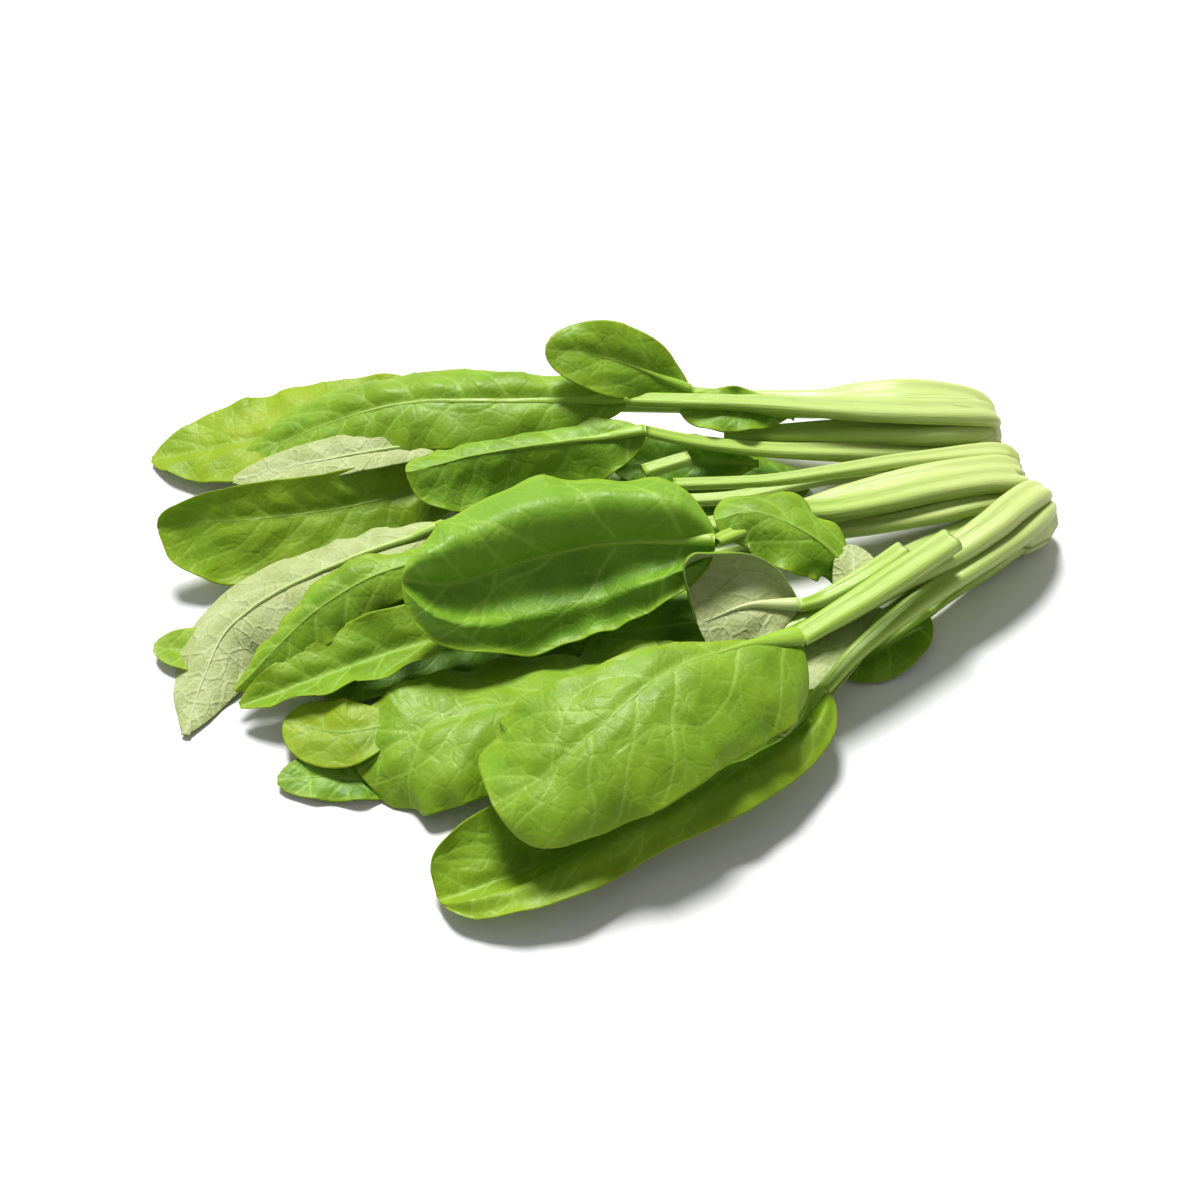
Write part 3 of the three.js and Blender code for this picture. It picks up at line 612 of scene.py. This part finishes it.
def leaf_relief(x, y, t, strong, fine, look, rng):
    """Height of the upper side over the smooth sheet, in millimetres."""
    away = np.minimum(strong[0], np.abs(y))
    quilt = QUILT_HEIGHT * (1 - np.exp(-((away / QUILT_REACH) ** 2)))
    pucker = PUCKER_HEIGHT * (1 - np.exp(-((fine[0] / PUCKER_REACH) ** 2)))
    groove = -STRONG_GROOVE * strong[1] - FINE_GROOVE * fine[1]
    rib_valley = -RIB_VALLEY_DEPTH * np.exp(-((y / RIB_VALLEY_WIDTH) ** 2))
    edge = np.abs(t)
    sway = SWAY_HEIGHT * waves(x[:, None], y, rng, SWAY_SIZE) * edge**1.3
    sway += RIPPLE_HEIGHT * waves(x[:, None], y, rng, RIPPLE_SIZE)
    pace = x[:, None] / RUFFLE_LENGTH * 2 * math.pi
    pace = pace + 1.5 * waves(x[:, None], 0 * y, rng, 60, 3)
    ruffle = np.sin(pace + 2.5 * (y > 0)) * edge**5 * RUFFLE_HEIGHT
    near_tip = ((x[-1] - x) / 10)[:, None]
    flat = np.minimum(1, (x / 12)[:, None]) * np.minimum(1, near_tip + 0.25)
    taper = np.minimum(1, (np.abs(y[:, :1]) + np.abs(y[:, -1:])) / 20)
    folds = sway * look.get("sway", 1.0) + ruffle * look["ruffle"]
    for high, place, wide in look.get("bulges", []):
        folds += high * np.exp(-(((t * np.sign(y) - place) / wide) ** 2))
    return (quilt + pucker + groove + rib_valley + folds) * flat * taper


def add_blade(build, leaf, rng):
    """A blade: its upper skin, its underside and the rim between them. It returns its sheet."""
    grid, x, y, t, strong, fine, look = blade_sheet(leaf, rng)
    rows, columns = y.shape
    normal = grid_normals(grid)
    thickness = LEAF_THICKNESS + (MARGIN_THICKNESS - LEAF_THICKNESS) * np.abs(t)
    half = (thickness / 2)[..., None]
    top = (grid + normal * half).reshape(-1, 3)
    bottom = (grid - normal * half).reshape(-1, 3)
    uv = np.stack([np.broadcast_to(x[:, None], y.shape), y], -1).reshape(-1, 2) / 10
    width = np.maximum(np.abs(y[:, :1]), 1) * (y < 0) + np.maximum(y[:, -1:], 1) * (y >= 0)
    tip_gap = (x[-1] - x)[:, None]
    margin = np.minimum(width * (1 - np.abs(t)), tip_gap)
    rib_width = 1.4 * (1 - x / x[-1]) + 0.5
    rib = np.exp(-((y / rib_width[:, None]) ** 2))
    vein = np.maximum.reduce([0.75 * strong[1], 0.4 * fine[1], 0.7 * rib])
    # The far half may take a lighter green than the near half: painted sheen where it faces the light.
    light = np.where(y < 0, look.get("far_painted_sheen", look["light"]), look["light"])
    fields = {
        "vein": vein.ravel(), "margin": margin.ravel(),
        "yellow": look["yellow"], "light": light.ravel(),
    }
    faces = grid_quads(rows, columns)
    build.add(top, faces, UPPER, uv, **fields)
    build.add(bottom, faces[:, ::-1], UNDER, uv, **fields)
    rim = np.r_[np.arange(columns), np.arange(2, rows + 1) * columns - 1,
                (rows - 1) * columns + np.arange(columns - 2, -1, -1),
                np.arange(rows - 2, 0, -1) * columns]
    following = np.roll(rim, -1)
    count = rows * columns
    sides = np.stack([rim, following, following + count, rim + count], -1)
    build.quads.append(sides + build.count - 2 * count)
    build.slots.append(np.full(len(sides), UPPER))
    return grid


def oval_rings(at, side, up, width, thick, sides, channel=0.0, ribs=0.0):
    """Rings of an oval, hollowed along its top by channel and ribbed lengthwise."""
    angle = (np.arange(sides) + 0.5) / sides * 2 * math.pi
    swell = 1 + ribs * np.cos(9 * angle)
    across = np.cos(angle)[None] * (width / 2)[:, None] * swell
    dip = channel * np.exp(-((np.cos(angle) / 0.42) ** 2)) * (np.sin(angle) > 0)
    high = (np.sin(angle) * swell - dip)[None] * (thick / 2)[:, None]
    return at[:, None] + side[:, None] * across[..., None] + up[:, None] * high[..., None], angle


def add_tube(build, rings, distance, around, slot, **fields):
    """A closed tube through rings. The first and last rings get flat ends."""
    rows, sides = rings.shape[:2]
    points = rings.reshape(-1, 3)
    quads = grid_quads(rows, sides, wrap=True)
    uv = np.stack([np.broadcast_to(distance[:, None], (rows, sides)),
                   np.broadcast_to(around[None], (rows, sides))], -1).reshape(-1, 2) / 10
    first = np.arange(sides)
    last = (rows - 1) * sides + first
    ends = np.vstack([end_strip(first)[:, ::-1], end_strip(last)])
    build.add(points, np.vstack([quads, ends])[:, ::-1], slot, uv, **fields)


def add_midrib(build, leaf, grid, stalk):
    """The midrib: the stalk's full size at the base, then slim and sunk below the blade."""
    length = points_at(leaf["path"], [0])[1]
    shares = np.linspace(0, RIB_END, round(length * RIB_END))
    _, side, up, _ = frames(leaf["path"], shares)
    spine = grid[:, max(6, round(leaf["far"]["width"] / GRID_STEP))]
    gone = np.r_[0, np.cumsum(np.linalg.norm(np.diff(spine, axis=0), axis=1))]
    at = np.stack([np.interp(shares * gone[-1], gone, spine[:, k]) for k in range(3)], -1)
    left = 1 - shares / RIB_END
    widest = max(leaf["near"]["width"], leaf["far"]["width"])
    size = min(1.0, 0.35 + widest / 45)
    look = LOOKS.get(leaf["name"], PLAIN_LOOK)
    show = look.get("rib", 1.0)
    width = (3.2 * left**1.3 + 0.5) * size * show
    thick = (2.6 * left + 0.7) * size
    sunk = thick / 2 - 0.2 - 0.25 * left * show
    if leaf.get("flip"):
        sunk = -sunk + 0.1
    joined = np.exp(-((shares * length / RIB_JOIN) ** 2)) if stalk else 0 * shares
    if stalk:
        width = width * (1 - joined) + stalk["width"][-1] * joined
        thick = thick * (1 - joined) + stalk["thick"][-1] * joined
    at = at - up * (sunk * (1 - joined) - 0.9 * joined * (shares * length > 1))[:, None]
    rings, angle = oval_rings(at, side, up, width, thick, RIB_SIDES)
    lime = np.clip(LIME_REACH * left * show, 0, LIME_REACH)
    add_tube(build, rings, shares * length, angle * 2, RIB, vein=lime.repeat(RIB_SIDES))


def add_stalk(build, stalk, crown):
    """A channelled stalk. Where it has a crown it starts inside it, rounded off."""
    path = stalk["path"]
    width, thick = stalk["width"], stalk["thick"]
    if crown is not None:
        tip, first = np.array(crown["tip"], float), np.array(path[0], float)
        path = [list(tip * 0.6 + first * 0.4), *path]
    length = points_at(path, [0])[1]
    count = max(12, round(length / STALK_RING_STEP))
    shares = np.linspace(0, 1, count)
    at, side, up, length = frames(path, shares)
    distance = shares * length
    rounded = 1.0
    if crown is not None:
        tight = 1 - np.clip(distance / CROWN_ROUNDING, 0, 1)
        rounded = np.clip(1 - tight**2.4, 0.02, 1) ** 0.6
    width = along(width, shares) * rounded
    thick = along(thick, shares) * rounded
    rings, angle = oval_rings(at, side, up, width, thick, STALK_SIDES, channel=0.35, ribs=0.012)
    lime = LIME_REACH * (shares if crown is not None else 0.5 + shares / 2)
    add_tube(build, rings, distance, angle * 4, 0, vein=lime.repeat(STALK_SIDES))


def add_crown(build, crown):
    """The hard base that the stalks of one plant close over."""
    tip, inner = np.array(crown["tip"], float), np.array(crown["inner"], float)
    reach = np.linspace(0.004, 0.996, 40)
    known = np.array(CROWN_PROFILE)
    radius = np.interp(reach, known[:, 1], known[:, 0]) * crown["radius"] * 0.97
    radius = np.convolve(np.r_[radius[0], radius, radius[-1]], [0.25, 0.5, 0.25], "valid")
    at, side, up, length = frames([tip, (tip + inner) / 2, inner], reach)
    rings, angle = oval_rings(at, side, up, 2 * radius, 2 * radius, 40, ribs=0.02)
    add_tube(build, rings, reach * length, angle * 10, 0, vein=np.repeat(reach, 40))


# ---------------------------------------------------------------- materials

class Nodes:
    """Adds and wires the nodes of one material."""

    def __init__(self, name):
        self.material = bpy.data.materials.new(name)
        self.material.use_nodes = True
        self.tree = self.material.node_tree
        self.tree.nodes.clear()

    def add(self, kind, inputs=None, **settings):
        node = self.tree.nodes.new(kind)
        for key, value in settings.items():
            setattr(node, key, value)
        for key, value in (inputs or {}).items():
            if isinstance(value, bpy.types.NodeSocket):
                self.tree.links.new(value, node.inputs[key])
            else:
                node.inputs[key].default_value = value
        return node

    def leaf_place(self, stretch=(1, 1, 1)):
        place = self.add("ShaderNodeUVMap", uv_map="leaf").outputs["UV"]
        return self.add("ShaderNodeMapping", {"Vector": place, "Scale": stretch}).outputs["Vector"]

    def field(self, name):
        return self.add("ShaderNodeAttribute", attribute_name=name).outputs["Fac"]

    def noise(self, scale, detail=3.0, vector=None, rough=0.5):
        inputs = {"Scale": scale, "Detail": detail, "Roughness": rough}
        inputs["Vector"] = vector or self.leaf_place()
        return self.add("ShaderNodeTexNoise", inputs).outputs["Fac"]

    def span(self, value, low, high, to_low=0.0, to_high=1.0):
        inputs = {"Value": value, "From Min": low, "From Max": high}
        inputs.update({"To Min": to_low, "To Max": to_high})
        return self.add("ShaderNodeMapRange", inputs, interpolation_type="SMOOTHSTEP").outputs["Result"]

    def mix(self, share, first, second):
        node = self.add("ShaderNodeMix", data_type="RGBA")
        for socket, value in ((node.inputs[0], share), (node.inputs[6], first), (node.inputs[7], second)):
            if isinstance(value, bpy.types.NodeSocket):
                self.tree.links.new(value, socket)
            else:
                socket.default_value = value
        return node.outputs[2]

    def maths(self, operation, first, second):
        node = self.add("ShaderNodeMath", operation=operation)
        for socket, value in zip(node.inputs, (first, second)):
            if isinstance(value, bpy.types.NodeSocket):
                self.tree.links.new(value, socket)
            else:
                socket.default_value = value
        return node.outputs["Value"]

    def cells(self, scale, warp=0.15):
        """Distance from the edges of a wandering cell pattern."""
        place = self.leaf_place()
        drift = self.add("ShaderNodeTexNoise", {"Scale": 2.2, "Detail": 2.0, "Vector": place})
        inputs = {0: drift.outputs["Color"], 1: (warp, warp, warp), 2: place}
        moved = self.add("ShaderNodeVectorMath", inputs, operation="MULTIPLY_ADD")
        inputs = {"Scale": scale, "Vector": moved.outputs["Vector"]}
        cell = self.add("ShaderNodeTexVoronoi", inputs, feature="DISTANCE_TO_EDGE", voronoi_dimensions="2D")
        return cell.outputs["Distance"]

    def bump(self, height, distance, strength=1.0):
        inputs = {"Height": height, "Distance": distance * MM, "Strength": strength}
        return self.add("ShaderNodeBump", inputs).outputs["Normal"]

    def finish(self, shader):
        self.add("ShaderNodeOutputMaterial", {"Surface": shader})
        return self.material


def leaf_shader(n, color, glow, normal, roughness, glow_share, specular):
    """A leaf lit from in front, which also glows where light comes through it."""
    front = n.add("ShaderNodeBsdfPrincipled", {
        "Base Color": color, "Roughness": roughness, "Normal": normal, "Specular IOR Level": specular})
    behind = n.add("ShaderNodeBsdfTranslucent", {"Color": glow, "Normal": normal})
    inputs = {0: glow_share, 1: front.outputs[0], 2: behind.outputs[0]}
    return n.add("ShaderNodeMixShader", inputs).outputs[0]


def upper_material():
    n = Nodes("leaf_upper")
    vein, yellow_and_glow = n.field("vein"), n.field("yellow")
    broad = n.span(n.noise(0.5, 3), 0.35, 0.68)
    color = n.mix(broad, DEEP_GREEN, MID_GREEN)
    # light lifts the green towards MID_GREEN; on a far half it is raised further as painted sheen, and the
    # under leaves keep it low as painted shade.
    color = n.mix(n.maths("MULTIPLY", n.field("light"), 0.8), color, MID_GREEN)
    # Tint towards yellow-green: partly the leaf's own tone, partly painted glow of light shining through
    # backlit leaves.
    yellow = n.maths("MULTIPLY", yellow_and_glow, n.span(n.noise(0.4, 2), 0.25, 0.65, 0.5, 1.0))
    color = n.mix(yellow, color, YELLOW_GREEN)
    # Margins tinted yellow-green towards the edge: painted glow of light shining through the thin rim.
    color = n.mix(n.span(n.field("margin"), 0.2, 4, 0.35, 0), color, YELLOW_GREEN)
    network, mesh_work = n.cells(1.5), n.cells(4.5, 0.08)
    color = n.mix(n.span(network, 0.0, 0.03, 0.22, 0), color, VEIN_GREEN)
    color = n.mix(n.span(mesh_work, 0.0, 0.07, 0.12, 0), color, VEIN_GREEN)
    color = n.mix(n.maths("MULTIPLY", vein, 0.8), color, VEIN_GREEN)
    height = n.maths("ADD", n.span(network, 0, 0.15), n.maths("MULTIPLY", n.span(mesh_work, 0, 0.3), 0.4))
    height = n.maths("ADD", height, n.maths("MULTIPLY", n.noise(40, 2), 0.15))
    normal = n.bump(height, 0.07)
    roughness = n.span(n.noise(3.0, 3), 0.3, 0.7, 0.42, 0.54)
    glow = n.mix(vein, GLOW_GREEN, VEIN_GREEN)
    glow_share = n.span(yellow_and_glow, 0, 1, 0.1, 0.3)
    return n.finish(leaf_shader(n, color, glow, normal, roughness, glow_share, 0.32))


def under_material():
    n = Nodes("leaf_under")
    vein = n.field("vein")
    color = n.mix(n.span(n.noise(0.8, 3), 0.3, 0.7, 0, 0.5), UNDER_GREEN, UNDER_VEIN)
    # The underside takes a little of the same yellow tint, partly painted glow of light through the leaf.
    color = n.mix(n.maths("MULTIPLY", n.field("yellow"), 0.25), color, YELLOW_GREEN)
    network, mesh_work = n.cells(1.5), n.cells(4.5, 0.08)
    color = n.mix(n.span(network, 0.0, 0.05, 0.4, 0), color, UNDER_VEIN)
    color = n.mix(n.span(mesh_work, 0.0, 0.08, 0.2, 0), color, UNDER_VEIN)
    color = n.mix(vein, color, UNDER_VEIN)
    height = n.maths("ADD", n.span(network, 0, 0.15), n.maths("MULTIPLY", n.span(mesh_work, 0, 0.3), 0.4))
    normal = n.bump(n.maths("MULTIPLY", height, -1.0), 0.2)
    roughness = n.span(n.noise(3.0, 3), 0.3, 0.7, 0.55, 0.7)
    return n.finish(leaf_shader(n, color, GLOW_GREEN, normal, roughness, 0.25, 0.25))


def stalk_material(name, lime, pale):
    """Fleshy stalk: lengthwise fibres, paler towards the crown and along its ridges."""
    n = Nodes(name)
    streak = n.span(n.noise(9, 4, n.leaf_place((0.05, 1, 1))), 0.32, 0.68)
    hair = n.span(n.noise(30, 2, n.leaf_place((0.03, 1, 1))), 0.3, 0.7)
    far = n.span(n.field("vein"), 0.1, LIME_REACH)
    color = n.mix(far, pale, lime)
    color = n.mix(n.maths("MULTIPLY", streak, 0.25), color, pale)
    color = n.mix(n.maths("MULTIPLY", hair, 0.12), color, lime)
    height = n.maths("ADD", streak, n.maths("MULTIPLY", hair, 0.4))
    normal = n.bump(height, 0.07)
    front = n.add("ShaderNodeBsdfPrincipled", {
        "Base Color": color, "Roughness": n.span(streak, 0, 1, 0.32, 0.45), "Normal": normal,
        "Specular IOR Level": 0.45, "Subsurface Weight": 0.25, "Subsurface Scale": 0.002,
        "Subsurface Radius": (0.7, 1.0, 0.3)})
    return n.finish(front.outputs[0])


def crown_material():
    n = Nodes("crown")
    reach = n.field("vein")
    streak = n.span(n.noise(7, 4, n.leaf_place((0.08, 1, 1))), 0.3, 0.7)
    color = n.mix(streak, CROWN_PALE, STALK_PALE)
    scar = n.span(n.maths("ADD", reach, n.maths("MULTIPLY", n.noise(8, 3), 0.06)), 0.03, 0.1, 0.8, 0.0)
    color = n.mix(scar, color, SCAR_BROWN)
    normal = n.bump(streak, 0.2)
    front = n.add("ShaderNodeBsdfPrincipled", {
        "Base Color": color, "Roughness": 0.5, "Normal": normal, "Specular IOR Level": 0.35})
    return n.finish(front.outputs[0])


def floor_material():
    n = Nodes("table")
    shade = n.mix(n.noise(3, 2), FLOOR_WHITE, FLOOR_GREY)
    front = n.add("ShaderNodeBsdfPrincipled", {
        "Base Color": shade, "Roughness": 0.8, "Specular IOR Level": 0.1})
    return n.finish(front.outputs[0])


# ---------------------------------------------------------------- the bunch

def place(piece, node, slot):
    """Hands a piece to the frame: attaches it to the root body and hides the CAD node it replaces. slot is
    not used.
    """
    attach(piece, "root")
    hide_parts(node)


def make_bunch():
    """Every leaf, stalk and crown. a_inner's stalk is a loose end, apart from its blade."""
    upper, under = upper_material(), under_material()
    rib = stalk_material("midrib", STALK_LIME, RIB_GREEN)
    under_rib = stalk_material("midrib_under", STALK_LIME, UNDER_VEIN)
    flesh = stalk_material("stalk", STALK_LIME, STALK_PALE)
    crown_skin = crown_material()
    crowns = {crown["name"][0]: crown for crown in CROWNS}
    stalks = {stalk["name"]: stalk for stalk in STALKS if stalk["name"] != "a_inner"}
    for number, leaf in enumerate(LEAVES):
        rng = np.random.default_rng(100 + number)
        build = Build()
        grid = add_blade(build, leaf, rng)
        add_midrib(build, leaf, grid, stalks.get(leaf["name"]))
        # A leaf that lies underside up shows its underside on top.
        faces = [under, upper, under_rib] if leaf.get("flip") else [upper, under, rib]
        piece = build.object(leaf["name"] + "_leaf", faces)
        slot = "blade_under_up" if leaf.get("flip") else "blade"
        place(piece, leaf["name"] + "_blade", slot)
    for stalk in STALKS:
        build = Build()
        add_stalk(build, stalk, crowns.get(stalk["name"][0]) if stalk["name"] != "a_inner" else None)
        place(build.object(stalk["name"] + "_petiole", [flesh]), stalk["name"] + "_stalk", "stalk")
    for crown in CROWNS:
        build = Build()
        add_crown(build, crown)
        place(build.object(crown["name"] + "_base", [crown_skin]), crown["name"], "crown")


def make_floor():
    mesh = bpy.data.meshes.new("table")
    turns = ((-1, -1), (1, -1), (1, 1), (-1, 1))
    corners = [(x * FLOOR_HALF, y * FLOOR_HALF, 0) for x, y in turns]
    mesh.from_pydata(corners, [], [(0, 1, 2, 3)])
    mesh.uv_layers.new(name="leaf")
    mesh.materials.append(floor_material())
    floor = bpy.data.objects.new("table", mesh)
    bpy.context.scene.collection.objects.link(floor)


def make_light():
    world = bpy.data.worlds.new("studio")
    bpy.context.scene.world = world
    world.use_nodes = True
    sky = world.node_tree.nodes["Background"]
    sky.inputs["Color"].default_value = (1, 1, 1, 1)
    sky.inputs["Strength"].default_value = SKY_LIGHT
    sun = bpy.data.lights.new("window", "SUN")
    sun.energy = SUN_POWER
    sun.angle = math.radians(SUN_WIDTH)
    lamp = bpy.data.objects.new("window", sun)
    lamp.rotation_euler = Vector(SUN_FROM).to_track_quat("Z", "Y").to_euler()
    bpy.context.scene.collection.objects.link(lamp)


def make_camera():
    elevation = math.radians(CAMERA_RISE)
    back = Vector((0, -math.cos(elevation), math.sin(elevation)))
    data = bpy.data.cameras.new("camera")
    data.sensor_width = SENSOR_WIDTH
    data.lens = SENSOR_WIDTH * CAMERA_DISTANCE / VIEW_WIDTH
    camera = bpy.data.objects.new("camera", data)
    camera.location = Vector(CAMERA_AIM) + back * CAMERA_DISTANCE
    camera.rotation_euler = back.to_track_quat("Z", "Y").to_euler()
    bpy.context.scene.collection.objects.link(camera)
    bpy.context.scene.camera = camera


make_camera()
make_light()
make_floor()
make_bunch()
bpy.context.scene.view_settings.view_transform = "Standard"
bpy.context.scene.view_settings.look = "Medium High Contrast"
